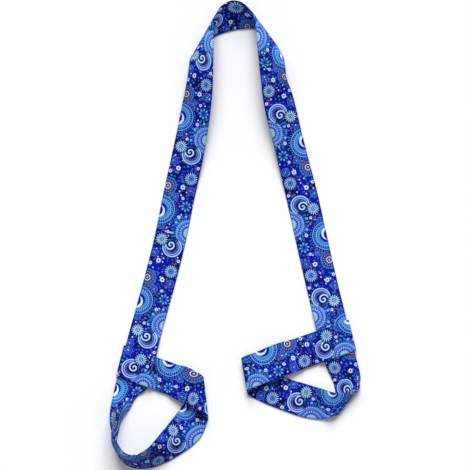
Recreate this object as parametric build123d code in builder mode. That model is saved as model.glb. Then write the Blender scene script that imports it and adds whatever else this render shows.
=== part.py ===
"""A sling neck strap: one length of printed polyester webbing whose two ends are sewn into eyes.

The webbing runs back through its own eye at each end, which makes a noose that tightens on what it
holds. The strap lies on a table, neck at the far (+Y) end, nooses at the near end. X is to the
right and Z is up; the table is at Z = 0. All sizes are in millimetres.

The webbing is given as rulings: straight lines across it, each from the edge that is outside on the
legs to the edge that is inside there. The strap tips over at the corner of each noose, and from
there on the two edges have changed sides. Each node is a stretch of webbing lofted through its
rulings.
"""

import os
from math import cos, radians, sin

from build123d import *

# Webbing
WEB_WIDTH = 38.0
WEB_THICKNESS = 1.5
LYING = WEB_THICKNESS / 2  # middle of webbing that lies on the table

# Sewn eyes
EYE_PLY_RISE = 2.25  # from one ply to the next, which leaves the strap room to slide between them
THREADED = LYING + EYE_PLY_RISE  # middle of the strap inside its eye
FRONT_PLY = THREADED + EYE_PLY_RISE  # middle of the eye's front ply
SEWN_PLY = LYING + WEB_THICKNESS + 0.15  # front ply where it is sewn down on the tail
EYE_FOLD_AT = -18.25  # centre of the eye's fold, from the strap's centre line
EYE_FOLD_STEPS = 4
EYE_STEP_DOWN = (20.5, 26.5)  # where the front ply comes down beside the strap
EYE_END = 44.0  # end of the sewn tail
EYE_SLANT = 0.095  # how far the eye runs down the strap for each millimetre across it
MOUTH_GAP = 1.5  # from the sewn tail to the noose's upper band

# Stitching that closes each eye
STITCH_LENGTH = 3.0
STITCH_PITCH = 4.4
STITCH_THICKNESS = 0.6
STITCH_ROWS = (28.5, 35.0, 41.5)
STITCHES_PER_ROW = 8

os.makedirs("parts", exist_ok=True)


def laid(side, x, y, lean, height=LYING):
    """Ruling square across a leg that leans outwards by lean degrees; side is -1 left, 1 right."""
    half = WEB_WIDTH / 2
    reach, rise = side * half * cos(radians(lean)), half * sin(radians(lean))
    return (x + reach, y + rise, height), (x - reach, y - rise, height)


def sections_of(rulings):
    """Section plane and width at each ruling, square to the webbing's run."""
    outer = [Vector(*ruling[0]) for ruling in rulings]
    inner = [Vector(*ruling[1]) for ruling in rulings]
    middle = [(a + b) / 2 for a, b in zip(outer, inner)]
    last = len(rulings) - 1
    sections = []
    for i in range(last + 1):
        across = inner[i] - outer[i]
        along = middle[min(i + 1, last)] - middle[max(i - 1, 0)]
        facing = across.cross(along)
        plane = Plane(origin=middle[i], x_dir=across, z_dir=facing.cross(across))
        sections.append((plane, across.length))
    return sections


def export_web(name, sections):
    """Loft a stretch of webbing through its sections and write it."""
    with BuildPart() as web:
        for plane, width in sections:
            with BuildSketch(plane):
                Rectangle(width, WEB_THICKNESS)
        loft(ruled=True)
    web.part.label = name
    export_step(web.part, f"parts/{name}.step")


def export_run(rulings, stretches):
    """Write the named stretches of one run; each is its first and last ruling's numbers."""
    sections = sections_of(rulings)
    for name, (first, last) in stretches.items():
        export_web(name, sections[first : last + 1])


# Neck: from the fold at the left shoulder round to the fold at the right one. Its outer edge
# lies on the table and its inner edge stands up, as webbing does when it bends edgeways.
NECK = [
    ((-54.0, 209.0, 6.5), (-24.5, 260.0, 12.0)),
    ((-51.0, 213.0, 2.5), (-24.0, 261.0, 11.0)),
    ((-43.0, 222.5, LYING), (-22.5, 264.0, 11.5)),
    ((-25.0, 237.0, LYING), (-17.0, 272.5, 15.0)),
    ((-4.0, 244.5, LYING), (-4.5, 279.5, 16.5)),
    ((10.0, 246.5, LYING), (5.0, 278.5, 18.5)),
    ((23.0, 246.5, LYING), (11.0, 275.0, 20.0)),
    ((36.0, 240.5, LYING), (15.5, 271.0, 18.0)),
    ((49.0, 228.0, LYING), (19.5, 266.5, 15.0)),
    ((56.0, 217.0, 2.5), (21.5, 264.5, 12.5)),
    ((58.5, 210.0, 6.5), (22.0, 263.5, 13.0)),
]

# Each half runs on from its shoulder fold, down the leg and round the noose to its mouth.
# The webbing tips over in the corner: the left one stands on edge there and the right one folds.
LEFT_SHOULDER = [
    ((-54.5, 205.0, 10.0), (-24.5, 258.0, 14.5)),
    ((-55.0, 200.0, 14.5), (-25.0, 250.0, 18.0)),
    ((-57.0, 186.5, 13.0), (-25.5, 224.0, 22.0)),
    ((-62.5, 160.0, 6.0), (-27.0, 169.0, 18.0)),
]
LEFT_LEG = [
    ((-71.0, 118.0, 1.5), (-34.5, 111.0, 9.0)),
    laid(-1, -67.3, 46.4, 11.2),
    laid(-1, -68.6, 40.0, 11.2),
    laid(-1, -78.0, -6.5, 12.5),
    laid(-1, -90.0, -54.5, 14),
    laid(-1, -104.6, -107.4, 14.8),
]
LEFT_THREADED = [
    laid(-1, -106.3, -113.6, 14.8),
    laid(-1, -109.3, -125.0, 14.8, THREADED),
    laid(-1, -123.6, -179.0, 14.8, THREADED),
]
LEFT_CORNER = [
    ((-146.5, -194.5, 10.0), (-117.5, -194.0, 1.5)),
    ((-148.5, -208.0, 25.0), (-127.0, -210.0, LYING)),
    ((-148.5, -222.0, 35.0), (-136.0, -224.0, LYING)),
    ((-147.0, -235.5, 38.0), (-141.5, -238.5, LYING)),
    ((-142.5, -245.0, 38.0), (-144.5, -249.0, LYING)),
    ((-138.0, -250.5, 38.0), (-143.5, -257.0, LYING)),
    ((-133.5, -257.5, 37.0), (-138.5, -268.0, LYING)),
    ((-127.0, -261.5, 35.5), (-129.5, -277.0, LYING)),
    ((-119.0, -262.0, 34.0), (-116.5, -281.0, LYING)),
    ((-109.0, -258.0, 31.0), (-101.0, -280.0, LYING)),
    ((-99.0, -249.5, 26.0), (-84.0, -274.0, LYING)),
]
LEFT_LOWER = [
    ((-88.5, -237.0, 18.0), (-67.0, -264.5, LYING)),
    ((-78.0, -224.5, 8.0), (-51.5, -254.0, LYING)),
    ((-68.0, -212.0, 2.0), (-41.0, -243.5, LYING)),
    ((-57.5, -197.5, LYING), (-35.5, -232.0, LYING)),
    ((-47.0, -182.5, LYING), (-33.5, -225.5, LYING)),
]
LEFT_ROLL = [
    ((-40.0, -174.5, 2.5), (-32.5, -222.5, 2.5)),
    ((-38.0, -171.5, 5.0), (-32.5, -221.0, 5.0)),
    ((-39.0, -169.0, 7.8), (-33.5, -219.0, 7.8)),
    ((-43.0, -166.0, 9.0), (-37.0, -215.5, 9.0)),
]
LEFT_UPPER = [
    ((-54.0, -160.0, 8.5), (-49.0, -207.5, 8.5)),
    ((-62.5, -157.0, 6.5), (-64.5, -201.0, 6.5)),
]

RIGHT_SHOULDER = [
    ((59.0, 206.5, 10.0), (22.5, 261.5, 15.0)),
    ((60.0, 200.0, 14.5), (24.0, 252.5, 19.0)),
    ((62.0, 186.5, 13.0), (26.5, 226.0, 22.5)),
    ((69.5, 166.0, 6.0), (34.0, 158.0, 18.0)),
]
RIGHT_LEG = [
    ((81.5, 117.0, 1.5), (46.0, 108.5, 10.0)),
    laid(1, 80.3, 46.4, 13),
    laid(1, 81.8, 40.0, 13),
    laid(1, 92.0, -6.5, 13.2),
    laid(1, 107.6, -74.5, 13.9),
]
RIGHT_THREADED = [
    laid(1, 109.2, -80.8, 13.9),
    laid(1, 112.0, -92.0, 13.9, THREADED),
    laid(1, 126.0, -148.5, 13.9, THREADED),
]
RIGHT_CORNER = [
    ((148.0, -158.0, 2.0), (114.0, -168.5, 1.5)),
    ((150.5, -169.0, LYING), (118.5, -179.5, LYING)),
    ((150.5, -174.5, 1.0), (121.5, -195.0, LYING)),
    ((149.5, -178.0, 2.0), (124.5, -211.5, 1.2)),
    ((149.5, -182.5, 4.8), (123.5, -215.5, 3.6)),
    ((147.0, -184.5, 8.0), (118.5, -217.0, 6.0)),
    ((137.0, -187.5, 10.0), (113.5, -219.5, 5.5)),
    ((124.0, -190.0, 9.5), (107.0, -221.0, 2.5)),
]
RIGHT_LOWER = [
    ((105.5, -185.0, 7.0), (95.0, -221.5, LYING)),
    ((81.5, -178.0, 3.0), (76.0, -217.5, LYING)),
    ((66.0, -173.5, LYING), (57.5, -211.0, LYING)),
    ((49.0, -165.0, LYING), (39.5, -204.0, LYING)),
    ((26.0, -155.5, LYING), (24.0, -197.0, LYING)),
]
RIGHT_ROLL = [
    ((12.5, -150.5, 2.5), (17.5, -193.5, 2.5)),
    ((8.0, -149.0, 5.0), (15.5, -191.5, 5.0)),
    ((8.5, -147.0, 7.8), (15.5, -188.5, 7.8)),
    ((12.5, -145.0, 9.0), (18.5, -185.0, 9.0)),
]
RIGHT_UPPER = [
    ((25.5, -140.5, 8.7), (32.5, -179.5, 8.7)),
    ((48.5, -131.0, 7.0), (60.0, -169.5, 7.0)),
]

# Where each eye is centred on its strap, and how far the strap leans there, in degrees
EYES = {
    "left": (-1, -118.0, -158.2, 14.8),
    "right": (1, 120.9, -127.6, 13.9),
}


def eye_ruling(side, x, y, lean, offset, height):
    """Ruling of an eye's ply: along the strap, offset towards the inside of the noose."""
    inward = Vector(-side * cos(radians(lean)), -sin(radians(lean)), 0)
    down = Vector(side * sin(radians(lean)), -cos(radians(lean)), 0)
    middle = Vector(x, y, height) + inward * offset + down * (EYE_SLANT * offset)
    return tuple(middle - down * (WEB_WIDTH / 2)), tuple(middle + down * (WEB_WIDTH / 2))


def eye_profile():
    """The eye's ply from the sewn end over the strap, round the fold and back under it."""
    profile = [(EYE_END, SEWN_PLY), (EYE_STEP_DOWN[1], SEWN_PLY), (EYE_STEP_DOWN[0], FRONT_PLY)]
    for step in range(EYE_FOLD_STEPS + 1):
        turn = radians(90 + 180 * step / EYE_FOLD_STEPS)
        across = EYE_FOLD_AT + EYE_PLY_RISE * cos(turn)
        profile.append((across, THREADED + EYE_PLY_RISE * sin(turn)))
    return profile + [(EYE_END, LYING)]


def mouth_ruling(side):
    """Start of the upper band, beside the sewn tail and along the strap."""
    return eye_ruling(*EYES[side], EYE_END + MOUTH_GAP, SEWN_PLY + 1.0)


export_web("neck_band", sections_of(NECK))

HALVES = {
    "left": (LEFT_SHOULDER, LEFT_LEG, LEFT_THREADED, LEFT_CORNER, LEFT_LOWER, LEFT_ROLL, LEFT_UPPER),
    "right": (
        RIGHT_SHOULDER,
        RIGHT_LEG,
        RIGHT_THREADED,
        RIGHT_CORNER,
        RIGHT_LOWER,
        RIGHT_ROLL,
        RIGHT_UPPER,
    ),
}
LEG_FOLD_RULING = 1  # of a leg's rulings, the last one above its fold

for side_name, half in HALVES.items():
    shoulder, leg, threaded, corner, lower, roll, upper = half
    run = sum(half, []) + [mouth_ruling(side_name)]
    leg_start = len(shoulder)
    threaded_start = leg_start + len(leg)
    corner_start = threaded_start + len(threaded)
    lower_start = corner_start + len(corner)
    roll_start = lower_start + len(lower)
    upper_start = roll_start + len(roll)
    above_fold = leg_start + LEG_FOLD_RULING
    below_fold = above_fold + 1
    export_run(
        run,
        {
            f"{side_name}_shoulder_roll": (0, leg_start),
            f"{side_name}_leg_upper": (leg_start, above_fold),
            f"{side_name}_leg_lower": (below_fold, threaded_start - 1),
            f"{side_name}_noose_threaded": (threaded_start, corner_start - 1),
            f"{side_name}_noose_corner": (corner_start - 1, lower_start),
            f"{side_name}_noose_lower_band": (lower_start, roll_start - 1),
            f"{side_name}_noose_roll": (roll_start - 1, upper_start),
            f"{side_name}_noose_upper_band": (upper_start, len(run) - 1),
        },
    )

    place = EYES[side_name]
    eye_run = [eye_ruling(*place, offset, height) for offset, height in eye_profile()]
    export_web(f"{side_name}_eye", sections_of(eye_run))

    with BuildPart() as stitches:
        for row in STITCH_ROWS:
            outer, inner = eye_ruling(*place, row, SEWN_PLY + WEB_THICKNESS / 2)
            along = (Vector(*outer) - Vector(*inner)).normalized()
            middle = (Vector(*outer) + Vector(*inner)) / 2
            with BuildSketch(Plane(origin=middle, x_dir=along, z_dir=(0, 0, 1))):
                with GridLocations(STITCH_PITCH, 0, STITCHES_PER_ROW, 1):
                    SlotOverall(STITCH_LENGTH, STITCH_THICKNESS)
        extrude(amount=STITCH_THICKNESS)
    stitches.part.label = f"{side_name}_eye_stitches"
    export_step(stitches.part, f"parts/{side_name}_eye_stitches.step")
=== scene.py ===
"""A sling neck strap laid out on a pale floor: printed webbing, two sewn slip eyes and their seams.

The strap is one length of webbing. Its lay is given as rulings, straight lines across it in
millimetres, each from the edge that is outside on the legs to the edge that is inside there. The
strap tips over at the corner of each noose, and from there on the two edges have changed sides. The
webbing runs smoothly through its rulings. It is cut into pieces only where one body ends and the
next begins, so every fold is one piece of cloth.
Positions along the strap count from the tail of the right eye to the tail of the left one.
"""

import logging
from dataclasses import dataclass
from enum import Enum
from math import ceil, cos, pi, radians, sin
from typing import NamedTuple

import bmesh
import bpy
import numpy as np
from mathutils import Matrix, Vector


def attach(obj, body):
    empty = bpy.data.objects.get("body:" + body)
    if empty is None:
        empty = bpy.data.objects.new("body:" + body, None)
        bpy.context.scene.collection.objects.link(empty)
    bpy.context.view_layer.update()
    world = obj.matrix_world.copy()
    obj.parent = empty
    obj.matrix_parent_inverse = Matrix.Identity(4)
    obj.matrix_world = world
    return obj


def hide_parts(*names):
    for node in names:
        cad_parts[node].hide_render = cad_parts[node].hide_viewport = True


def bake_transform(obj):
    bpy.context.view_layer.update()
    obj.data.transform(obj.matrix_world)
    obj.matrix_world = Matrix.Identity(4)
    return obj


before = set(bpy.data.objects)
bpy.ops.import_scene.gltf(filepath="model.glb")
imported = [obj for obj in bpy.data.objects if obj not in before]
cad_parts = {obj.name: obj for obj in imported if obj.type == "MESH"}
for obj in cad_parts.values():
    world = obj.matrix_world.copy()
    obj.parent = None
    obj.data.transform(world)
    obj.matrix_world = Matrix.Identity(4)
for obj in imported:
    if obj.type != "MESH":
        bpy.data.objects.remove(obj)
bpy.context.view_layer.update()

log = logging.getLogger("neck_sling")

MM = 0.001
WEB_WIDTH = 38.0
WEB_THICKNESS = 1.5
LYING = WEB_THICKNESS / 2  # middle of webbing that lies on the floor
PLY_RISE = 2.25
THREADED = LYING + PLY_RISE  # middle of the strap inside its eye
FRONT_PLY = THREADED + PLY_RISE  # middle of the eye's front ply
SEWN_PLY = 2.4  # front ply where it is sewn down on the tail
CLOTH_MAP = "Cloth"  # UV map: along the strap and across it, in metres
PRINT_REPEAT = 113.5

Point = tuple[float, float, float]
Value = float | tuple[float, ...] | bpy.types.NodeSocket  # what a node's input takes


class Side(Enum):
    """The strap's two halves; the value is the half's sign along X."""

    LEFT = -1
    RIGHT = 1

    @property
    def word(self) -> str:
        """The side's name as the nodes and bodies spell it."""
        return self.name.lower()


class Ruling(NamedTuple):
    """A line across the webbing, in millimetres, and how far its middle bows off it."""

    outer: Point
    inner: Point
    bow: float = 0.0


def laid(side: Side, x: float, y: float, lean: float, height: float = LYING) -> Ruling:
    """Make a ruling square across a leg.

    Args:
        side: The leg's side.
        x: Middle of the ruling.
        y: Middle of the ruling.
        lean: How far the leg leans outwards, in degrees.
        height: Height of the webbing's middle.

    Returns:
        The ruling, one webbing width long.
    """
    half = WEB_WIDTH / 2
    reach, rise = side.value * half * cos(radians(lean)), half * sin(radians(lean))
    return Ruling((x + reach, y + rise, height), (x - reach, y - rise, height))


def rulings(*lines: tuple[Point, Point] | tuple[Point, Point, float]) -> list[Ruling]:
    """Name each line's two ends, and its bow if it has one."""
    return [Ruling(*line) for line in lines]


# The neck, from the fold at the left shoulder round to the fold at the right one.
NECK = rulings(
    ((-54, 209, 6.5), (-24.5, 260, 12)),
    ((-51, 213, 2.5), (-24, 261, 11)),
    ((-43, 222.5, LYING), (-22.5, 264, 11.5)),
    ((-25, 237, LYING), (-17, 272.5, 15)),
    ((-4, 244.5, LYING), (-4.5, 279.5, 16.5)),
    ((10, 246.5, LYING), (5, 278.5, 18.5)),
    ((23, 246.5, LYING), (11, 275, 20)),
    ((36, 240.5, LYING), (15.5, 271, 18)),
    ((49, 228, LYING), (19.5, 266.5, 15)),
    ((56, 217, 2.5), (21.5, 264.5, 12.5)),
    ((58.5, 210, 6.5), (22, 263.5, 13)),
)


@dataclass(frozen=True)
class EyePlace:
    """Where an eye is centred on its strap, and how far the strap leans there, in degrees."""

    side: Side
    x: float
    y: float
    lean: float
    slant: float = 0.095  # how far the eye runs down the strap for each millimetre across it

    @property
    def down(self) -> Vector:
        """Down the strap, along the floor."""
        return Vector((self.side.value * sin(radians(self.lean)), -cos(radians(self.lean)), 0))

    @property
    def inward(self) -> Vector:
        """Across the strap towards the inside of the noose."""
        return Vector((-self.side.value * cos(radians(self.lean)), -sin(radians(self.lean)), 0))

    def at(self, offset: float, height: float) -> Vector:
        """Middle of the eye's ply at an offset towards the inside of the noose."""
        middle = Vector((self.x, self.y, height)) + self.inward * offset
        return middle + self.down * (self.slant * offset)

    def ruling(self, offset: float, height: float) -> Ruling:
        """Ruling of the eye's ply, along the strap."""
        middle, reach = self.at(offset, height), self.down * (WEB_WIDTH / 2)
        return Ruling(tuple(middle - reach), tuple(middle + reach))


@dataclass(frozen=True)
class EyeProfile:
    """The eye's ply, from its sewn end over the strap, round a fold and back under the strap."""

    place: EyePlace
    fold_at: float = -18.25
    fold_steps: int = 4
    step_down: tuple[float, float] = (20.5, 26.5)
    end: float = 44.0
    mouth_gap: float = 1.5

    def mouth(self) -> Ruling:
        """End of the noose's upper band, beside the sewn end."""
        return self.place.ruling(self.end + self.mouth_gap, SEWN_PLY + 1.0)

    def plies(self) -> list[Ruling]:
        """Rulings of the eye itself, sewn end to tail.

        Returns:
            The rulings.
        """
        profile = [(self.end, SEWN_PLY), (self.step_down[1], SEWN_PLY)]
        profile.append((self.step_down[0], FRONT_PLY))
        for step in range(self.fold_steps + 1):
            turn = pi / 2 + pi * step / self.fold_steps
            across = self.fold_at + PLY_RISE * cos(turn)
            profile.append((across, THREADED + PLY_RISE * sin(turn)))
        profile.append((self.end, LYING))
        return [self.place.ruling(offset, height) for offset, height in profile]


@dataclass(frozen=True)
class HalfLay:
    """The lay of one half of the strap, from its shoulder fold to the tail of its eye.

    band_give is how far before the mouth the upper band would bend most as the eye slides, and half the
    length that would bend, in millimetres; it is handed to blend_over, which doesn't bend the band.
    steepness, how far a direction down the strap rises for each millimetre, is not used.
    """

    side: Side
    shoulder: list[Ruling]
    leg: list[Ruling]
    threaded: list[Ruling]
    corner: list[Ruling]
    lower: list[Ruling]
    roll: list[Ruling]
    upper: list[Ruling]
    eye: EyeProfile
    band_give: tuple[float, float]
    steepness: float

    def run(self) -> list[Ruling]:
        """All rulings of the half, in order down the strap."""
        noose = self.threaded + self.corner + self.lower + self.roll + self.upper
        return self.shoulder + self.leg + noose + [self.eye.mouth()] + self.eye.plies()

    @property
    def threaded_end(self) -> int:
        """Place in the run of the last ruling inside the eye."""
        return len(self.shoulder) + len(self.leg) + len(self.threaded) - 1

    @property
    def upper_start(self) -> int:
        """Place in the run of the upper band's first ruling."""
        return self.threaded_end + 1 + len(self.corner) + len(self.lower) + len(self.roll)

    @property
    def mouth_at(self) -> int:
        """Place in the run of the noose's mouth."""
        return self.upper_start + len(self.upper)


LEFT_LAY = HalfLay(
    side=Side.LEFT,
    shoulder=rulings(
        ((-54.5, 205, 10), (-24.5, 258, 14.5)),
        ((-55, 200, 14.5), (-25, 250, 18)),
        ((-57, 186.5, 13), (-25.5, 224, 22)),
        ((-62.5, 160, 6), (-27, 169, 18)),
    ),
    leg=[
        Ruling((-71, 118, 1.5), (-34.5, 111, 9)),
        laid(Side.LEFT, -67.3, 46.4, 11.2),
        laid(Side.LEFT, -68.6, 40, 11.2),
        laid(Side.LEFT, -78, -6.5, 12.5),
        laid(Side.LEFT, -90, -54.5, 14),
        laid(Side.LEFT, -104.6, -107.4, 14.8),
    ],
    threaded=[
        laid(Side.LEFT, -106.3, -113.6, 14.8),
        laid(Side.LEFT, -109.3, -125, 14.8, THREADED),
        laid(Side.LEFT, -123.6, -179, 14.8, THREADED),
    ],
    corner=rulings(
        ((-146.5, -194.5, 10), (-117.5, -194, 1.5)),
        ((-148.5, -208, 25), (-127, -210, LYING)),
        ((-148.5, -222, 35), (-136.5, -224, LYING), -1),
        ((-145.5, -235.5, 38), (-140.5, -238.5, LYING), -3.5),
        ((-141.5, -245, 38), (-142, -249, LYING), -5),
        ((-138, -251, 38), (-141.5, -258, LYING), -4),
        ((-133.5, -257.5, 37), (-138, -268, LYING), -1.5),
        ((-127, -261.5, 35.5), (-129.5, -277, LYING)),
        ((-119, -262, 34), (-116.5, -281, LYING)),
        ((-109, -258, 31), (-101, -280, LYING)),
        ((-99, -249.5, 26), (-84, -274, LYING)),
    ),
    lower=rulings(
        ((-88.5, -237, 18), (-67, -264.5, LYING)),
        ((-78, -224.5, 8), (-51.5, -254, LYING)),
        ((-68, -212, 2), (-41, -243.5, LYING)),
        ((-57.5, -197.5, LYING), (-35.5, -232, LYING)),
        ((-47, -182.5, LYING), (-33.5, -225.5, LYING)),
    ),
    roll=rulings(
        ((-40, -174.5, 2.5), (-32.5, -222.5, 2.5)),
        ((-38, -171.5, 5), (-32.5, -221, 5)),
        ((-39, -169, 7.8), (-33.5, -219, 7.8)),
        ((-43, -166, 9), (-37, -215.5, 9)),
    ),
    upper=rulings(
        ((-54, -160, 8.5), (-49, -207.5, 8.5)),
        ((-62.5, -157, 6.5), (-64.5, -201, 6.5)),
    ),
    eye=EyeProfile(EyePlace(Side.LEFT, -118, -158.2, 14.8)),
    band_give=(11.0, 9.5),
    steepness=10.4,
)

RIGHT_LAY = HalfLay(
    side=Side.RIGHT,
    shoulder=rulings(
        ((59, 206.5, 10), (22.5, 261.5, 15)),
        ((60, 200, 14.5), (24, 252.5, 19)),
        ((62, 186.5, 13), (26.5, 226, 22.5)),
        ((69.5, 166, 6), (34, 158, 18)),
    ),
    leg=[
        Ruling((81.5, 117, 1.5), (46, 108.5, 10)),
        laid(Side.RIGHT, 80.3, 46.4, 13),
        laid(Side.RIGHT, 81.8, 40, 13),
        laid(Side.RIGHT, 92, -6.5, 13.2),
        laid(Side.RIGHT, 107.6, -74.5, 13.9),
    ],
    threaded=[
        laid(Side.RIGHT, 109.2, -80.8, 13.9),
        laid(Side.RIGHT, 112, -92, 13.9, THREADED),
        laid(Side.RIGHT, 126, -148.5, 13.9, THREADED),
    ],
    corner=rulings(
        ((148, -158, 2), (114, -168.5, 1.5)),
        ((150.5, -169, LYING), (118.5, -179.5, LYING)),
        ((150.5, -174.5, 1), (121.5, -195, LYING)),
        ((149.5, -178, 2), (124.5, -211.5, 1.2)),
        ((149.5, -182.5, 4.8), (123.5, -215.5, 3.6)),
        ((147, -184.5, 8), (118.5, -217, 6)),
        ((137, -187.5, 10), (113.5, -219.5, 5.5)),
        ((124, -190, 9.5), (107, -221, 2.5)),
    ),
    lower=rulings(
        ((105.5, -185, 7), (95, -221.5, LYING)),
        ((81.5, -178, 3), (76, -217.5, LYING)),
        ((66, -173.5, LYING), (57.5, -211, LYING)),
        ((49, -165, LYING), (39.5, -204, LYING)),
        ((26, -155.5, LYING), (24, -197, LYING)),
    ),
    roll=rulings(
        ((12.5, -150.5, 2.5), (17.5, -193.5, 2.5)),
        ((8, -149, 5), (15.5, -191.5, 5)),
        ((8.5, -147, 7.8), (15.5, -188.5, 7.8)),
        ((12.5, -145, 9), (18.5, -185, 9)),
    ),
    upper=rulings(
        ((25.5, -140.5, 8.7), (32.5, -179.5, 8.7)),
        ((48.5, -131, 7), (60, -169.5, 7)),
    ),
    eye=EyeProfile(EyePlace(Side.RIGHT, 120.9, -127.6, 13.9)),
    band_give=(25.0, 22.0),
    steepness=9.43,
)


# Curves through the rulings


def hermite(
    knots: np.ndarray, points: np.ndarray, slopes: np.ndarray, at: np.ndarray
) -> np.ndarray:
    """Evaluate a cubic curve that goes through points with the given slopes.

    Args:
        knots: Parameter of each point.
        points: One row for each knot.
        slopes: One row for each knot.
        at: Parameters to evaluate.

    Returns:
        One row for each parameter.
    """
    span = np.clip(np.searchsorted(knots, at, side="right") - 1, 0, len(knots) - 2)
    width = (knots[span + 1] - knots[span])[:, None]
    t = ((at - knots[span])[:, None]) / width
    rise = points[span] * (2 * t**3 - 3 * t**2 + 1) + points[span + 1] * (3 * t**2 - 2 * t**3)
    lean = slopes[span] * (t**3 - 2 * t**2 + t) + slopes[span + 1] * (t**3 - t**2)
    return rise + lean * width


def flowing_slopes(knots: np.ndarray, points: np.ndarray) -> np.ndarray:
    """Slopes that let a curve flow evenly through its points.

    Args:
        knots: Parameter of each point.
        points: One row for each knot.

    Returns:
        One slope for each point.
    """
    step = np.diff(knots)[:, None]
    rate = np.diff(points, axis=0) / step
    inside = (rate[:-1] * step[1:] + rate[1:] * step[:-1]) / (step[:-1] + step[1:])
    return np.vstack([rate[:1], inside, rate[-1:]])


def settled_slopes(knots: np.ndarray, heights: np.ndarray) -> np.ndarray:
    """Slopes that never carry a curve above or below its points, so cloth stays on the floor.

    Args:
        knots: Parameter of each point.
        heights: One row for each knot.

    Returns:
        One slope for each point.
    """
    rate = np.diff(heights, axis=0) / np.diff(knots)[:, None]
    before, after = rate[:-1], rate[1:]
    same_way = before * after > 0
    total = np.where(same_way, before + after, 1.0)
    inside = np.where(same_way, 2 * before * after / total, 0.0)
    return np.vstack([rate[:1] * 0, inside, rate[-1:] * 0])


class PrintMark(NamedTuple):
    """A stretch of a printed face, and where a point of the print falls on it.

    The stretch runs between two of a half's rulings; a negative place counts back into the neck.
    The print doesn't give within a stretch, only between one and the next.
    """

    side: Side
    first: int
    last: int
    x: float
    y: float
    place: float = 0.0


@dataclass
class Strap:
    """The whole length of webbing: its two edges, and the print that runs along each face.

    Attributes:
        left: Lay of the left half.
        right: Lay of the right half.
        neck: Rulings of the neck, left to right.
        step: Longest distance between two stations, in millimetres.
        face_marks: Where mandalas fall on the face that is up on the legs.
        back_marks: Where the print falls on the back, which is up at the neck and lower bands.
    """

    left: HalfLay
    right: HalfLay
    neck: list[Ruling]
    step: float = 2.5
    face_marks: tuple[PrintMark, ...] = (
        PrintMark(Side.RIGHT, 27, 38, 129.6, -138.6),
        PrintMark(Side.RIGHT, 1, 14, 44.0, 122.0),
        PrintMark(Side.LEFT, 1, 16, -33.5, 113.0),
        PrintMark(Side.LEFT, 31, 42, -110.4, -181.8),
    )
    back_marks: tuple[PrintMark, ...] = (
        PrintMark(Side.RIGHT, 16, 25, 92.4, -216.0),
        PrintMark(Side.LEFT, -9, -3, 2.4, 268.0, 48.9),
        PrintMark(Side.LEFT, 18, 30, -46.8, -244.0),
    )

    def __post_init__(self) -> None:
        """Run the edges through the rulings and measure the webbing along its middle."""
        chain = self.right.run()[::-1] + self.neck[::-1] + self.left.run()
        edges = np.array([ruling.outer + ruling.inner for ruling in chain])
        bows = np.array([[ruling.bow] for ruling in chain])
        moves = np.diff(edges, axis=0)
        reach = (np.linalg.norm(moves[:, :3], axis=1) + np.linalg.norm(moves[:, 3:], axis=1)) / 2
        knots = np.concatenate([[0.0], np.cumsum(np.sqrt(reach))])
        parts = [max(2, ceil(length / self.step)) for length in reach]
        at = [np.linspace(knots[i], knots[i + 1], n, endpoint=False) for i, n in enumerate(parts)]
        at = np.concatenate(at + [knots[-1:]])
        self.station_of = np.concatenate([[0], np.cumsum(parts)])
        woven = hermite(knots, edges, flowing_slopes(knots, edges), at)
        heights = edges[:, [2, 5]]
        woven[:, [2, 5]] = hermite(knots, heights, settled_slopes(knots, heights), at)
        self.bow = hermite(knots, bows, settled_slopes(knots, bows), at)
        self.outer, self.inner = woven[:, :3], woven[:, 3:]
        self.middle = (self.outer + self.inner) / 2
        steps = np.linalg.norm(np.diff(self.middle, axis=0), axis=1)
        self.length = np.concatenate([[0.0], np.cumsum(steps)])
        self.along = np.gradient(self.middle, self.length, axis=0)
        self.along /= np.linalg.norm(self.along, axis=1)[:, None]
        reach = (self.outer - self.middle) / (WEB_WIDTH / 2)
        self.lead = np.einsum("ij,ij->i", reach, self.along)
        self.face_print = self.fit_print(self.face_marks, 1)
        self.back_print = self.fit_print(self.back_marks, -1)

    def number(self, side: Side, place: int) -> int:
        """Station of a half's ruling; a negative place counts back into the neck.

        Args:
            side: The half.
            place: Place in the half's run.

        Returns:
            The station.
        """
        if side is Side.LEFT:
            return int(self.station_of[len(self.right.run()) + len(self.neck) + place])
        return int(self.station_of[len(self.right.run()) - 1 - place])

    def swept_area(self, first: int, last: int) -> float:
        """Area of cloth between two stations, in square metres.

        Args:
            first: Station at one end.
            last: Station at the other end.

        Returns:
            The area.
        """
        across = (self.outer - self.inner)[first:last]
        moves = np.diff(self.middle[first : last + 1], axis=0)
        return float(np.linalg.norm(np.cross(across, moves), axis=1).sum()) * MM * MM

    def fit_print(self, marks: tuple[PrintMark, ...], way: int) -> np.ndarray:
        """Run the print along one face.

        Args:
            marks: Where the print falls on the stretches that show.
            way: 1 where the print runs as the strap does, -1 where it runs the other way.

        Returns:
            The print's coordinate along the strap's middle at each station.
        """
        held_at, slack = [], []
        for mark in marks:
            ends = sorted(self.number(mark.side, place) for place in (mark.first, mark.last))
            stretch = np.arange(ends[0], ends[1] + 1)
            off = np.linalg.norm(self.middle[stretch, :2] - (mark.x, mark.y), axis=1)
            nearest = stretch[np.argmin(off)]
            lead = self.along[nearest, :2] @ (np.array([mark.x, mark.y]) - self.middle[nearest, :2])
            wanted = mark.place - way * (self.length[nearest] + lead)
            if slack:
                wanted += round((slack[-1] - wanted) / PRINT_REPEAT) * PRINT_REPEAT
            held_at += [self.length[end] for end in ends]
            slack += [wanted, wanted]
        return way * self.length + np.interp(self.length, held_at, slack)


# Node shorthand


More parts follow.
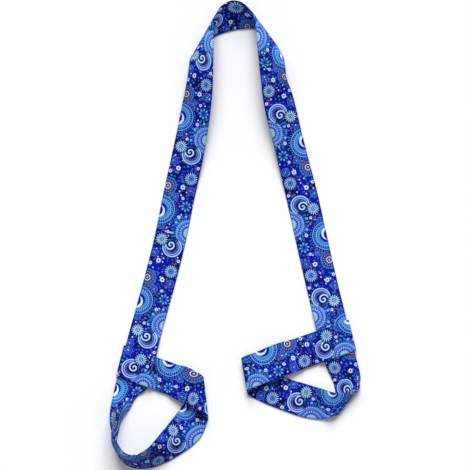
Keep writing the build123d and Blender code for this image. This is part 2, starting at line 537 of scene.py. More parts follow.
class Graph:
    """Shorthand for wiring the nodes of a material or a geometry tree."""

    def __init__(self, tree: bpy.types.NodeTree) -> None:
        """Keep the tree and empty it.

        Args:
            tree: The tree to build in.
        """
        self.tree = tree
        tree.nodes.clear()

    def node(self, kind: str, **settings: object) -> bpy.types.Node:
        """Add a node and set its properties.

        Args:
            kind: The node's type.
            **settings: Properties of the node.

        Returns:
            The node.
        """
        made = self.tree.nodes.new(kind)
        for name, value in settings.items():
            setattr(made, name, value)
        return made

    def wired(self, kind: str, inputs: dict[str, Value], **settings: object) -> bpy.types.Node:
        """Add a node, set its properties and feed its inputs.

        Args:
            kind: The node's type.
            inputs: Its inputs by name, numbers or sockets.
            **settings: Properties of the node.

        Returns:
            The node.
        """
        made = self.node(kind, **settings)
        for name, value in inputs.items():
            self.feed(made.inputs[name], value)
        return made

    def feed(self, socket: bpy.types.NodeSocket, value: Value) -> None:
        """Link a socket to another one, or set its value.

        Args:
            socket: The socket.
            value: What it takes, a number, a colour or another socket.
        """
        if isinstance(value, bpy.types.NodeSocket):
            self.tree.links.new(value, socket)
        else:
            socket.default_value = value

    def math(self, operation: str, *values: Value) -> bpy.types.NodeSocket:
        """Work out one value from others.

        Args:
            operation: The Math node's operation.
            *values: Its inputs, numbers or sockets.

        Returns:
            The result.
        """
        made = self.node("ShaderNodeMath", operation=operation)
        for socket, value in zip(made.inputs, values):
            self.feed(socket, value)
        return made.outputs[0]

    def gap(self, one: Value, other: Value) -> bpy.types.NodeSocket:
        """Distance between two values."""
        return self.math("ABSOLUTE", self.math("SUBTRACT", one, other))

    def length(self, x: Value, y: Value) -> bpy.types.NodeSocket:
        """Length of a step of x and y."""
        return self.math("SQRT", self.math("MULTIPLY_ADD", x, x, self.math("MULTIPLY", y, y)))

    def wrap(self, value: Value, half: float) -> bpy.types.NodeSocket:
        """Bring a value between -half and half by whole turns."""
        return self.math("WRAP", value, half, -half)

    def inside(self, distance: Value, reach: Value, blur: float = 0.2) -> bpy.types.NodeSocket:
        """Mask that is 1 where a distance is less than its reach, with a slightly soft edge.

        Args:
            distance: Distance from a shape's middle.
            reach: How far the shape reaches.
            blur: Half the width of its soft edge.

        Returns:
            The mask.
        """
        inputs = {"Value": self.math("SUBTRACT", distance, reach)}
        inputs |= {"From Min": -blur, "From Max": blur, "To Min": 1.0, "To Max": 0.0}
        made = self.wired("ShaderNodeMapRange", inputs, interpolation_type="SMOOTHSTEP")
        return made.outputs["Result"]

    def mix(self, mask: Value, below: Value, above: Value) -> bpy.types.NodeSocket:
        """Lay one colour over another through a mask.

        Args:
            mask: Where the upper colour shows.
            below: The lower colour.
            above: The upper colour.

        Returns:
            The mixed colour.
        """
        made = self.node("ShaderNodeMix", data_type="RGBA")
        self.feed(made.inputs[0], mask)
        self.feed(made.inputs[6], below)
        self.feed(made.inputs[7], above)
        return made.outputs[2]

    def noise(self, vector: Value, scale: float, detail: float = 2.0) -> bpy.types.NodeSocket:
        """Soft noise from 0 to 1."""
        inputs = {"Vector": vector, "Scale": scale, "Detail": detail}
        return self.wired("ShaderNodeTexNoise", inputs).outputs["Fac"]

    def split(self, vector: Value) -> bpy.types.bpy_prop_collection:
        """Split a vector into its coordinates.

        Args:
            vector: The vector.

        Returns:
            The three coordinates.
        """
        made = self.node("ShaderNodeSeparateXYZ")
        self.feed(made.inputs[0], vector)
        return made.outputs

    def surface(self, colour: Value, roughness: Value, **fixed: object) -> bpy.types.Node:
        """Add the shader and the material's output.

        Args:
            colour: Base colour.
            roughness: Roughness.
            **fixed: Other sockets of the shader, by name with _ for a space.

        Returns:
            The shader node.
        """
        inputs = {"Base Color": colour, "Roughness": roughness}
        inputs |= {name.replace("_", " "): value for name, value in fixed.items()}
        shader = self.wired("ShaderNodeBsdfPrincipled", inputs)
        self.wired("ShaderNodeOutputMaterial", {"Surface": shader.outputs[0]})
        return shader

    def bump(self, shader: bpy.types.Node, height: Value, strength: float, rise: float) -> None:
        """Give a shader relief.

        Args:
            shader: The shader node.
            height: Height of the relief, from 0 to 1.
            strength: Strength of the bump.
            rise: What a height of 1 stands for, in millimetres.
        """
        inputs = {"Strength": strength, "Distance": rise * MM, "Height": height}
        self.feed(shader.inputs["Normal"], self.wired("ShaderNodeBump", inputs).outputs[0])


def new_material(name: str) -> tuple[bpy.types.Material, Graph]:
    """Make a material, and the graph that its nodes go in.

    Args:
        name: The material's name.

    Returns:
        The material and its graph.
    """
    made = bpy.data.materials.new(name)
    made.use_nodes = True
    return made, Graph(made.node_tree)


def place(name: str, data: bpy.types.ID) -> bpy.types.Object:
    """Put an object in the scene.

    Args:
        name: The object's name.
        data: Its mesh, camera or light.

    Returns:
        The object.
    """
    made = bpy.data.objects.new(name, data)
    bpy.context.scene.collection.objects.link(made)
    return made


class Ink(Enum):
    """Inks of the print and dyes of the thread, as display values from 0 to 255."""

    ROYAL = (6, 20, 166)
    NAVY = (1, 6, 78)
    VIOLET = (46, 38, 154)
    LILAC = (88, 100, 214)
    SKY = (64, 132, 228)
    PALE = (130, 186, 250)
    WHITE = (216, 234, 255)
    TURQUOISE = (26, 130, 206)
    TEAL = (90, 166, 214)
    PINK = (176, 124, 190)
    CREAM = (186, 220, 224)
    THREAD = (52, 66, 170)
    FLOOR = (244, 245, 247)

    @property
    def linear(self) -> tuple[float, float, float, float]:
        """The ink as scene-linear red, green, blue and alpha.

        Returns:
            The four channels.
        """
        channels = [value / 255 for value in self.value]
        light = [c / 12.92 if c <= 0.04045 else ((c + 0.055) / 1.055) ** 2.4 for c in channels]
        return (*light, 1.0)


# The print


class Around(NamedTuple):
    """A point of the print's repeat, in millimetres, and the cloth's coordinates around it."""

    along: float
    across: float
    distance: bpy.types.NodeSocket
    angle: bpy.types.NodeSocket


@dataclass
class Printer:
    """Lays inks on the cloth one over another.

    Attributes:
        graph: The material's nodes.
        along: Coordinate along the print, in millimetres.
        across: Coordinate from the strap's inner edge, in millimetres.
        colour: What has been printed so far.
    """

    graph: Graph
    along: bpy.types.NodeSocket
    across: bpy.types.NodeSocket
    colour: Value

    def around(self, along: float, across: float) -> Around:
        """Coordinates around a point of the repeat.

        Args:
            along: Place along the repeat, in millimetres.
            across: Place from the strap's inner edge, in millimetres.

        Returns:
            The coordinates.
        """
        g = self.graph
        dx = g.wrap(g.math("SUBTRACT", self.along, along), PRINT_REPEAT / 2)
        dy = g.math("SUBTRACT", self.across, across)
        return Around(along, across, g.length(dx, dy), g.math("ARCTAN2", dy, dx))

    def lay(self, mask: Value, ink: Ink, strength: float = 1.0) -> None:
        """Print an ink through a mask.

        Args:
            mask: Where the ink goes.
            ink: The ink.
            strength: How much of it covers what is below.
        """
        if strength < 1.0:
            mask = self.graph.math("MULTIPLY", mask, strength)
        self.colour = self.graph.mix(mask, self.colour, ink.linear)


class Disc(NamedTuple):
    """A filled disc."""

    ink: Ink
    reach: float
    strength: float = 1.0

    def lay(self, printer: Printer, around: Around, radius: float) -> None:
        """Print the disc."""
        mask = printer.graph.inside(around.distance, radius * self.reach)
        printer.lay(mask, self.ink, self.strength)


class Ring(NamedTuple):
    """A ring, whose line is width millimetres wide."""

    ink: Ink
    reach: float
    width: float

    def lay(self, printer: Printer, around: Around, radius: float) -> None:
        """Print the ring."""
        off = printer.graph.gap(around.distance, radius * self.reach)
        printer.lay(printer.graph.inside(off, self.width / 2), self.ink)


class Beads(NamedTuple):
    """A ring of dots, each bead millimetres in radius."""

    ink: Ink
    reach: float
    count: int
    bead: float

    def lay(self, printer: Printer, around: Around, radius: float) -> None:
        """Print the dots.

        Args:
            printer: What prints it.
            around: Coordinates around the motif's middle.
            radius: The motif's radius, in millimetres.
        """
        g = printer.graph
        arc = g.math("MULTIPLY", g.wrap(around.angle, pi / self.count), radius * self.reach)
        off = g.math("SUBTRACT", around.distance, radius * self.reach)
        printer.lay(g.inside(g.length(arc, off), self.bead), self.ink)


class Petals(NamedTuple):
    """A flower whose outline runs between inner and outer; point is 1 for round petals."""

    ink: Ink
    inner: float
    outer: float
    count: int
    point: float

    def lay(self, printer: Printer, around: Around, radius: float) -> None:
        """Print the flower.

        Args:
            printer: What prints it.
            around: Coordinates around the motif's middle.
            radius: The motif's radius, in millimetres.
        """
        g = printer.graph
        inner, outer = radius * self.inner, radius * self.outer
        turn = g.math("MULTIPLY", around.angle, self.count / 2)
        wave = g.math("POWER", g.math("ABSOLUTE", g.math("COSINE", turn)), self.point)
        reach = g.math("MULTIPLY_ADD", wave, outer - inner, inner)
        printer.lay(g.inside(around.distance, reach), self.ink)


class Rays(NamedTuple):
    """Rays from inner to outer, which widen outwards and cover a share of the round."""

    ink: Ink
    inner: float
    outer: float
    count: int
    share: float
    blur: float = 0.12

    def lay(self, printer: Printer, around: Around, radius: float) -> None:
        """Print the rays.

        Args:
            printer: What prints it.
            around: Coordinates around the motif's middle.
            radius: The motif's radius, in millimetres.
        """
        g = printer.graph
        inner, outer = radius * self.inner, radius * self.outer
        turn = g.math("ABSOLUTE", g.wrap(around.angle, pi / self.count))
        arc = g.math("MULTIPLY", turn, around.distance)
        reach = g.math("MULTIPLY", around.distance, pi / self.count * self.share)
        within = g.inside(g.gap(around.distance, (inner + outer) / 2), (outer - inner) / 2)
        printer.lay(g.math("MULTIPLY", g.inside(arc, reach, self.blur), within), self.ink)


class Crescent(NamedTuple):
    """One disc less another of its size; shell and bite are how far off the two are centred."""

    ink: Ink
    reach: float
    shell: tuple[float, float]
    bite: tuple[float, float]

    def lay(self, printer: Printer, around: Around, radius: float) -> None:
        """Print the crescent.

        Args:
            printer: What prints it.
            around: Coordinates around the motif's middle.
            radius: The motif's radius, in millimetres.
        """
        g = printer.graph
        shell, bite = (
            g.inside(
                printer.around(around.along + radius * x, around.across + radius * y).distance,
                radius * self.reach,
            )
            for x, y in (self.shell, self.bite)
        )
        printer.lay(g.math("MAXIMUM", g.math("SUBTRACT", shell, bite), 0.0), self.ink)


Layer = Disc | Ring | Beads | Petals | Rays | Crescent


@dataclass(frozen=True)
class Rosette:
    """A round motif, printed layer on layer.

    Its place and radius are in millimetres. A layer's places are shares of the radius.
    """

    along: float
    across: float
    radius: float
    layers: tuple[Layer, ...]

    def paint(self, printer: Printer) -> None:
        """Print the layers in turn.

        Args:
            printer: What prints it.
        """
        around = printer.around(self.along, self.across)
        for layer in self.layers:
            layer.lay(printer, around, self.radius)


MANDALA = (
    Disc(Ink.NAVY, 1.28, 0.4),
    Beads(Ink.TURQUOISE, 1.2, 27, 1.35),
    Beads(Ink.PALE, 1.2, 9, 1.5),
    Beads(Ink.SKY, 1.07, 38, 0.55),
    Petals(Ink.SKY, 0.88, 1.0, 38, 0.7),
    Petals(Ink.PALE, 0.84, 0.94, 38, 1.0),
    Disc(Ink.ROYAL, 0.84),
    Rays(Ink.LILAC, 0.42, 0.83, 44, 0.5),
    Ring(Ink.PALE, 0.78, 0.5),
    Rays(Ink.PALE, 0.44, 0.66, 22, 0.55),
    Ring(Ink.VIOLET, 0.46, 0.9),
    Petals(Ink.TEAL, 0.3, 0.42, 20, 0.8),
    Rays(Ink.CREAM, 0.08, 0.36, 16, 0.5),
)
MEDALLION = (
    Disc(Ink.NAVY, 1.08, 0.6),
    Beads(Ink.SKY, 1.0, 38, 0.7),
    Ring(Ink.TURQUOISE, 0.86, 1.7),
    Ring(Ink.PALE, 0.88, 0.6),
    Disc(Ink.ROYAL, 0.8),
    Beads(Ink.PALE, 0.74, 34, 0.6),
    Ring(Ink.PALE, 0.65, 1.1),
    Disc(Ink.TURQUOISE, 0.6, 0.85),
    Rays(Ink.TEAL, 0.42, 0.58, 30, 0.5),
    Disc(Ink.ROYAL, 0.42),
    Crescent(Ink.WHITE, 0.4, (0.12, 0.1), (0.06, 0.24)),
)
ARCS = (
    Rays(Ink.TURQUOISE, 0.8, 1.0, 14, 0.86),
    Disc(Ink.NAVY, 0.78),
    Beads(Ink.PINK, 0.64, 17, 0.85),
    Ring(Ink.LILAC, 0.46, 0.8),
    Ring(Ink.WHITE, 0.3, 0.9),
    Disc(Ink.PALE, 0.12),
)
BLOOM = (Petals(Ink.WHITE, 0.72, 1.0, 6, 0.8), Disc(Ink.ROYAL, 0.36))


def daisy(petals: int, point: float, tip: Ink, vein: Ink, hub: Ink, share: float) -> tuple[Layer, ...]:
    """Layers of a flower of fine petals round a hub.

    Args:
        petals: How many petals.
        point: How pointed they are.
        tip: Ink of the petals.
        vein: Ink of the ray in each petal.
        hub: Ink of the hub.
        share: The hub's radius, as a share of the flower's.

    Returns:
        The layers.
    """
    return (
        Disc(Ink.NAVY, 1.08, 0.85),
        Petals(tip, 0.4, 1.0, petals, point),
        Rays(vein, share, 0.84, petals, 0.3),
        Ring(Ink.ROYAL, share * 1.3, 0.8),
        Disc(hub, share),
        Disc(Ink.NAVY, 0.1),
    )


def hoop(ink: Ink) -> tuple[Layer, ...]:
    """Layers of a thin hoop with a dot in it."""
    return (Ring(ink, 1.0, 0.9), Ring(Ink.SKY, 0.55, 0.6), Disc(Ink.PALE, 0.2))


@dataclass(frozen=True)
class Curl:
    """A striped wave that curls in on itself.

    Attributes:
        along: Place along the print, in millimetres.
        across: Place from the strap's inner edge, in millimetres.
        radius: Radius of the wave's back, in millimetres.
        facing: Direction of the wave's back, in degrees.
        spread: How far the back reaches on each side of it, in degrees.
        stripes: The back's stripes: each one's ink, share of the radius and width.
        tail: How far off the small spiral is centred, as shares of the radius.
        tail_reach: The spiral's radius, as a share.
        tail_pitch: From one turn of the spiral to the next, as a share.
        tail_start: Where the spiral starts, in turns.
        tail_stripes: The spiral's stripes: each one's ink and half its width, in turns.
    """

    along: float
    across: float
    radius: float
    facing: float = -20.0
    spread: float = 128.0
    stripes: tuple[tuple[Ink, float, float], ...] = (
        (Ink.SKY, 0.9, 2.2),
        (Ink.WHITE, 0.93, 0.8),
        (Ink.PALE, 0.72, 1.1),
        (Ink.LILAC, 0.6, 0.6),
    )
    tail: tuple[float, float] = (-0.22, 0.2)
    tail_reach: float = 0.54
    tail_pitch: float = 0.36
    tail_start: float = 0.3
    tail_stripes: tuple[tuple[Ink, float], ...] = ((Ink.SKY, 0.28), (Ink.WHITE, 0.14))

    def paint(self, printer: Printer) -> None:
        """Print the wave's stripes and beads, then the small spiral at its end.

        Args:
            printer: What prints it.
        """
        g, radius = printer.graph, self.radius
        around = printer.around(self.along, self.across)
        Disc(Ink.NAVY, 1.06, 0.65).lay(printer, around, radius)
        turned = g.wrap(g.math("SUBTRACT", around.angle, radians(self.facing)), pi)
        back = g.inside(g.math("ABSOLUTE", turned), radians(self.spread), 0.08)
        for ink, reach, width in self.stripes:
            off = g.gap(around.distance, radius * reach)
            printer.lay(g.math("MULTIPLY", back, g.inside(off, width / 2)), ink)
        Beads(Ink.PINK, 0.5, 16, 0.5).lay(printer, around, radius)

        x, y = self.tail
        tail = printer.around(self.along + radius * x, self.across + radius * y)
        Disc(Ink.NAVY, 0.58).lay(printer, tail, radius)
        turns = g.math("MULTIPLY_ADD", tail.angle, -1 / (2 * pi), self.tail_start)
        wound = g.math("ADD", turns, g.math("DIVIDE", tail.distance, radius * self.tail_pitch))
        stripe = g.gap(g.math("FRACT", wound), 0.5)
        body = g.inside(tail.distance, radius * self.tail_reach)
        for ink, half in self.tail_stripes:
            printer.lay(g.math("MULTIPLY", body, g.inside(stripe, half, 0.04)), ink)


@dataclass(frozen=True)
class Chain:
    """A string of dots that waves along the strap; whole dots and waves fit the repeat.

    Attributes:
        level: Middle of the waves, from the strap's inner edge, in millimetres.
        swing: How far a wave reaches on each side of it, in millimetres.
        waves: How many waves fit the repeat.
        start: Where the first wave starts, in radians.
        dots: How many dots fit the repeat.
        bead: A dot's radius, in millimetres.
        ink: Ink of the dots.
    """

    level: float
    swing: float
    waves: int
    start: float
    dots: int
    bead: float
    ink: Ink

    def paint(self, printer: Printer) -> None:
        """Print the string's dark ground and its dots.

        Args:
            printer: What prints it.
        """
        g = printer.graph
        rate = 2 * pi * self.waves / PRINT_REPEAT
        swung = g.math("SINE", g.math("MULTIPLY_ADD", printer.along, rate, self.start))
        line = g.math("MULTIPLY_ADD", swung, self.swing, self.level)
        off = g.math("SUBTRACT", printer.across, line)
        printer.lay(g.inside(g.math("ABSOLUTE", off), self.bead * 1.9), Ink.NAVY, 0.55)
        step = g.wrap(printer.along, PRINT_REPEAT / self.dots / 2)
        printer.lay(g.inside(g.length(step, off), self.bead), self.ink)


# A rosette or a curl gives its place along the repeat and from the strap's inner edge, then its radius.
MOTIFS = (
    Chain(19.0, 13.0, 2, 0.6, 42, 0.7, Ink.PINK),
    Chain(19.5, 15.0, 1, 2.4, 38, 0.7, Ink.LILAC),
    Rosette(31.0, 34.0, 4.6, hoop(Ink.LILAC)),
    Rosette(104.5, 13.0, 4.2, hoop(Ink.TURQUOISE)),
    Rosette(73.5, 23.0, 3.8, hoop(Ink.LILAC)),
    Rosette(110.5, 34.0, 4.2, hoop(Ink.SKY)),
    Rosette(62.6, 34.5, 11.0, ARCS),
    Rosette(91.7, 37.5, 19.0, MEDALLION),
    Rosette(0.0, -1.0, 16.5, MANDALA),
    Curl(20.5, 14.5, 11.8),
    Rosette(13.2, 28.8, 7.6, daisy(15, 1.3, Ink.TEAL, Ink.WHITE, Ink.PALE, 0.22)),
    Rosette(48.9, 8.8, 8.4, daisy(18, 1.6, Ink.SKY, Ink.WHITE, Ink.TURQUOISE, 0.26)),
    Rosette(83.1, 8.2, 6.8, daisy(8, 0.8, Ink.TURQUOISE, Ink.PALE, Ink.VIOLET, 0.36)),
    Rosette(63.4, 6.2, 4.6, hoop(Ink.LILAC)),
    Rosette(39.4, 26.6, 2.9, BLOOM),
    Rosette(60.9, 16.5, 2.9, BLOOM),
    Rosette(44.5, 35.5, 2.2, BLOOM),
    Rosette(74.0, 13.5, 1.9, BLOOM),
    Rosette(97.0, 14.0, 2.1, BLOOM),
    Rosette(34.8, 3.2, 2.0, BLOOM),
    Rosette(3.0, 23.5, 1.9, BLOOM),
)


# Finishes


@dataclass(frozen=True)
class PrintedWebbing:
    """Smooth polyester webbing, printed on both faces, with fine ribs across it.

    Attributes:
        rib: From one rib to the next, in millimetres.
        warp: From one warp yarn to the next, in millimetres.
        selvedge: Width of the selvedge, in millimetres.
        selvedge_shade: How much darker the selvedge is.
        groove_painted_shade: Painted shade, how much darker the cloth is painted between its yarns,
            where the weave's grooves fall in shade.
        cloud: Scale of the ground's dark clouds.
        cloud_level: Noise below which the ground is dark.
        roughness: Middle roughness.
        wear: How far the roughness varies with wear.
        wear_scale: Scale of the wear.
        star_pitch: From one small dot of the ground to the next, in millimetres.
    """

    rib: float = 1.1
    warp: float = 0.9
    selvedge: float = 1.6
    selvedge_shade: float = 0.25
    groove_painted_shade: float = 0.16
    cloud: float = 60.0
    cloud_level: float = 0.47
    roughness: float = 0.62
    wear: float = 0.16
    wear_scale: float = 25.0
    star_pitch: float = 4.6

    def material(self) -> bpy.types.Material:
        """Build the material, which reads the cloth's own map.

        Returns:
            The material.
        """
        made, g = new_material("printed_webbing")
        cloth = g.node("ShaderNodeUVMap", uv_map=CLOTH_MAP).outputs[0]
        along, across = (g.math("MULTIPLY", part, 1 / MM) for part in g.split(cloth)[:2])

        dark = g.inside(g.noise(cloth, self.cloud), self.cloud_level, 0.12)
        printer = Printer(g, along, across, g.mix(dark, Ink.ROYAL.linear, Ink.NAVY.linear))
        self.stars(printer, cloth)
        for motif in MOTIFS:
            motif.paint(printer)

        weave = self.weave(g, along, across)
        to_edge = g.math("SUBTRACT", WEB_WIDTH / 2, g.gap(across, WEB_WIDTH / 2))
        selvedge = g.inside(to_edge, self.selvedge, 0.4)
        printer.lay(g.math("MULTIPLY", selvedge, self.selvedge_shade), Ink.NAVY)
        # Painted shade: the cloth is painted darker between its yarns, where the weave's grooves fall
        # in shade.
        printer.lay(g.math("MULTIPLY_ADD", weave, -self.groove_painted_shade, self.groove_painted_shade), Ink.NAVY)
        wear = g.noise(cloth, self.wear_scale, 4.0)
        shader = g.surface(
            printer.colour,
            g.math("MULTIPLY_ADD", wear, self.wear, self.roughness - self.wear / 2),
            Sheen_Weight=0.02,
            Sheen_Roughness=0.4,
            Specular_IOR_Level=0.06,
        )
        relief = g.math("MAXIMUM", weave, g.math("MULTIPLY", selvedge, 0.8))
        g.bump(shader, relief, 0.45, 0.25)
        return made

    def stars(self, printer: Printer, cloth: bpy.types.NodeSocket) -> None:
        """Scatter small dots and rings over the ground.

        Args:
            printer: What prints them.
            cloth: The cloth's map, in metres.
        """
        g = printer.graph
        inputs = {"Vector": cloth, "Scale": 1 / (self.star_pitch * MM), "Randomness": 0.8}
        scatter = g.wired("ShaderNodeTexVoronoi", inputs, voronoi_dimensions="2D")
        distance = g.math("MULTIPLY", scatter.outputs["Distance"], self.star_pitch)
        printer.lay(g.inside(g.gap(distance, 1.35), 0.25), Ink.VIOLET, 0.9)
        printer.lay(g.inside(distance, 0.7), Ink.SKY)
        shades = g.wired("ShaderNodeSeparateColor", {"Color": scatter.outputs["Color"]})
        for choice, level, radius, ink in (
            ("GREATER_THAN", 0.86, 0.85, Ink.WHITE),
            ("LESS_THAN", 0.22, 1.3, Ink.TURQUOISE),
        ):
            chosen = g.math(choice, shades.outputs[0], level)
            printer.lay(g.math("MULTIPLY", chosen, g.inside(distance, radius)), ink)

    def weave(
        self, g: Graph, along: bpy.types.NodeSocket, across: bpy.types.NodeSocket
    ) -> bpy.types.NodeSocket:
        """Height of the weave, from 0 between the yarns to 1 on them.

        Args:
            g: The material's nodes.
            along: Coordinate along the strap, in millimetres.
            across: Coordinate across the strap, in millimetres.

        Returns:
            The height.
        """
        ribs = g.math("SINE", g.math("MULTIPLY", along, 2 * pi / self.rib))
        yarns = g.math("SINE", g.math("MULTIPLY", across, 2 * pi / self.warp))
        crossed = g.math("MULTIPLY_ADD", g.math("MULTIPLY", ribs, yarns), 0.3, 0.5)
        return g.math("MULTIPLY_ADD", ribs, 0.2, crossed)


@dataclass(frozen=True)
class SeamThread:
    """Twisted polyester sewing thread."""

    twist: float = 0.5  # from one turn of the twist to the next, in millimetres
    roughness: float = 0.5

    def material(self) -> bpy.types.Material:
        """Build the material, which reads Object coordinates.

        Returns:
            The material.
        """
        made, g = new_material("seam_thread")
        parts = g.split(g.node("ShaderNodeTexCoord").outputs["Object"])
        lengthways = g.math("MULTIPLY_ADD", parts[2], 2.0, parts[1])
        strand = g.math("SINE", g.math("MULTIPLY", lengthways, 2 * pi / (self.twist * MM)))
        twist_relief_and_painted_shade = g.math("MULTIPLY_ADD", strand, 0.5, 0.5)
        # Painted shade: the twist's grooves are painted darker and its crests keep the thread's dye;
        # the same wave also gives the bump.
        colour = g.mix(twist_relief_and_painted_shade, Ink.ROYAL.linear, Ink.THREAD.linear)
        shader = g.surface(colour, self.roughness, Sheen_Weight=0.2)
        g.bump(shader, twist_relief_and_painted_shade, 0.5, 0.1)
        return made


@dataclass(frozen=True)
class PaleFloor:
    """Plain matt floor."""

    roughness: float = 0.9

    def material(self) -> bpy.types.Material:
        """Build the material.

        Returns:
            The material.
        """
        made, g = new_material("pale_floor")
        g.surface(Ink.FLOOR.linear, self.roughness, Specular_IOR_Level=0.2)
        return made


# Pieces of webbing


@dataclass(frozen=True)
class WebSection:
    """The webbing's cross-section: flat faces between rounded selvedges, in millimetres."""

    width: float = WEB_WIDTH
    thickness: float = 1.4
    columns: int = 13
    selvedge_steps: int = 4

    def outline(self) -> list[tuple[float, float]]:
        """Points round the section, as places across the webbing and heights from its middle.

        Returns:
            The points, in order round the section.
        """
        edge = self.thickness / 2
        reach = self.width / 2 - edge
        face = [reach * (2 * i / (self.columns - 1) - 1) for i in range(self.columns)]
        turns = [pi * (i + 1) / self.selvedge_steps for i in range(self.selvedge_steps - 1)]
        outer = [(reach + edge * sin(t), edge * cos(t)) for t in turns]
        inner = [(-reach - edge * sin(t), -edge * cos(t)) for t in turns]
        top = [(across, edge) for across in face]
        bottom = [(across, -edge) for across in reversed(face)]
        return top + outer + bottom + inner


@dataclass
class WebbingPiece:
    """A stretch of the strap as one closed piece of cloth.

    Attributes:
        name: Name of the piece.
        strap: The strap that it is part of.
        first: Its first station.
        last: Its last station.
        replaces: CAD nodes that it stands for.
        held: How it lies; not used.
        rests_on: What it lies on; not used.
        slanted: Whether its two ends lie along slanted folds, so that its cut is no rectangle.
        section: Its cross-section.
    """

    name: str
    strap: Strap
    first: int
    last: int
    replaces: tuple[str, ...]
    held: str = "laid"
    rests_on: tuple[str, ...] = ("floor",)
    slanted: bool = False
    section: WebSection = WebSection()

    def build(self, finish: bpy.types.Material) -> bpy.types.Object:
        """Args:
            finish: The webbing's material.

        Returns:
            The piece.
        """
        strap, span = self.strap, slice(self.first, self.last + 1)
        middle, along, outer = strap.middle[span], strap.along[span], strap.outer[span]
        reach = (outer - middle) / (self.section.width / 2)
        normal = np.cross(reach, along)
        normal /= np.linalg.norm(normal, axis=1)[:, None]
        outline = self.section.outline()
        half = self.section.width / 2
        mesh = bmesh.new()
        cloth = mesh.loops.layers.uv.new(CLOTH_MAP)
        rows, places = [], {}
        for i, station in enumerate(range(self.first, self.last + 1)):
            row = []
            for across, rise in outline:
                bowed = rise + strap.bow[station, 0] * (1 - (across / half) ** 2)
                vertex = mesh.verts.new((middle[i] + reach[i] * across + normal[i] * bowed) * MM)
                lead = strap.lead[station] * across
                face_place = strap.face_print[station] + lead
                back_place = strap.back_print[station] - lead
                places[vertex] = [(p * MM, (across + half) * MM) for p in (face_place, back_place)]
                row.append(vertex)
            rows.append(row)
        backs = set()
        for before, after in zip(rows, rows[1:]):
            for j in range(len(outline)):
                k = (j + 1) % len(outline)
                made = mesh.faces.new((before[j], before[k], after[k], after[j]))
                if outline[j][1] < 0 and outline[k][1] < 0:
                    backs.add(made)
        ends = [mesh.faces.new(rows[0]), mesh.faces.new(rows[-1])]
        for face in mesh.faces:
            face.smooth = face not in ends
            for loop in face.loops:
                loop[cloth].uv = places[loop.vert][face in backs]
        for end in ends:
            for edge in end.edges:
                edge.smooth = False
        bmesh.ops.recalc_face_normals(mesh, faces=mesh.faces)
        data = bpy.data.meshes.new(self.name)
        mesh.to_mesh(data)
        mesh.free()
        data.materials.append(finish)
        piece = place(self.name, data)
        self.declare()
        return piece

    def declare(self) -> None:
        """Hide the CAD nodes that the piece stands for, and work out a slanted piece's area of cloth,
        which is not kept.
        """
        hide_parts(*self.replaces)
        self.strap.swept_area(self.first, self.last) if self.slanted else None


def blend_over(
    piece: bpy.types.Object, bodies: tuple[str, str], middle: Vector, along: Vector, reach: float
) -> None:
    """Bake a piece's transform into its mesh; the piece is not bent.

    Args:
        piece: The piece.
        bodies: The body before the stretch and the one after it; not used.
        middle: Middle of the stretch, in millimetres; not used.
        along: Unit vector from the first body to the second; not used.
        reach: Half the stretch's length, in millimetres; not used.
    """
    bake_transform(piece)


# Sub-assemblies


@dataclass
class NeckBand:
    """The band round the back of the neck, which rides on the neck body."""

    strap: Strap
    margin: int = -2  # the neck's rulings that belong to each shoulder

    def build(self, webbing: bpy.types.Material) -> None:
        """Make the band.

        Args:
            webbing: The webbing's material.
        """
        first = self.strap.number(Side.RIGHT, self.margin)
        last = self.strap.number(Side.LEFT, self.margin)
        band = WebbingPiece("neck_webbing", self.strap, first, last, ("neck_band",))
        band.slanted = True
        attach(band.build(webbing), "neck")


@dataclass
class Half:
    """What the sub-assemblies of one half of the strap share: the strap and the half's lay."""

    strap: Strap
    lay: HalfLay

    def cut(self, name: str, first: int, last: int, nodes: tuple[str, ...]) -> WebbingPiece:
        """Cut a piece of this half between two of its rulings.

        Args:
            name: Name of the piece, without its side.
            first: Ruling at one end.
            last: Ruling at the other end.
            nodes: CAD nodes that it stands for, without their side.

        Returns:
            The piece, ready to build.
        """
        side = self.lay.side
        ends = sorted((self.strap.number(side, first), self.strap.number(side, last)))
        named = tuple(f"{side.word}_{node}" for node in nodes)
        return WebbingPiece(f"{side.word}_{name}", self.strap, *ends, named)


